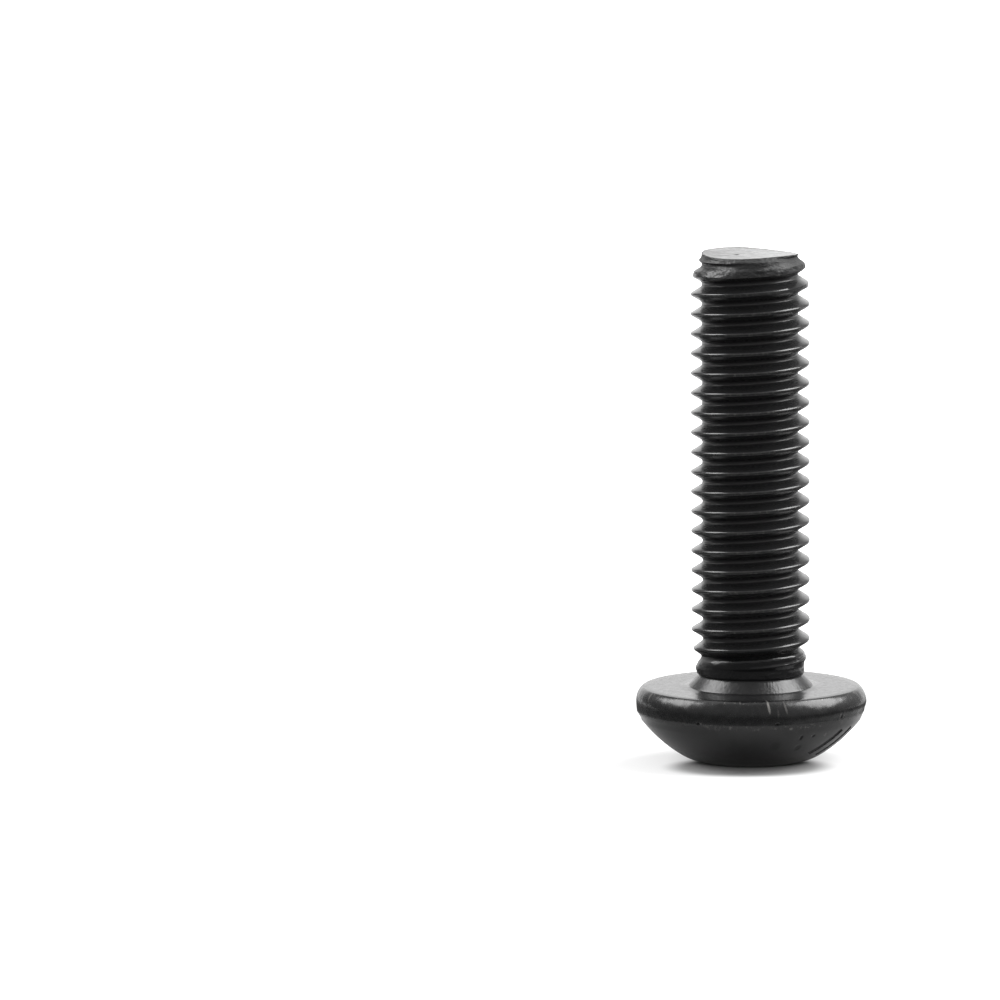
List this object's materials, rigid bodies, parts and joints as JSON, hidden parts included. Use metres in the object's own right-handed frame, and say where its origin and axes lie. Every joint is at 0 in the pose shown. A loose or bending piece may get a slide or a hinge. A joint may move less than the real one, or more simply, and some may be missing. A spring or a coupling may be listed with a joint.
{
  "type": "button head screw",
  "caption": "Short button head machine screw with a hexagon socket, a conical neck and a full-length right-hand thread, in black oxide steel.",
  "frame": {"origin": "on the screw's axis, at the plane of the head's flat top, on which the screw stands", "axes": "+Z along the screw's axis, from the head to the threaded end; X and Y are equal round the axis, and two corners of the socket lie on X"},
  "size_m": [0.0094, 0.0094, 0.0207],
  "materials": {
    "black_oxide_steel": "satin"
  },
  "bodies": {
    "root": {"button_head_screw": "black_oxide_steel"}
  },
  "joints": []
}
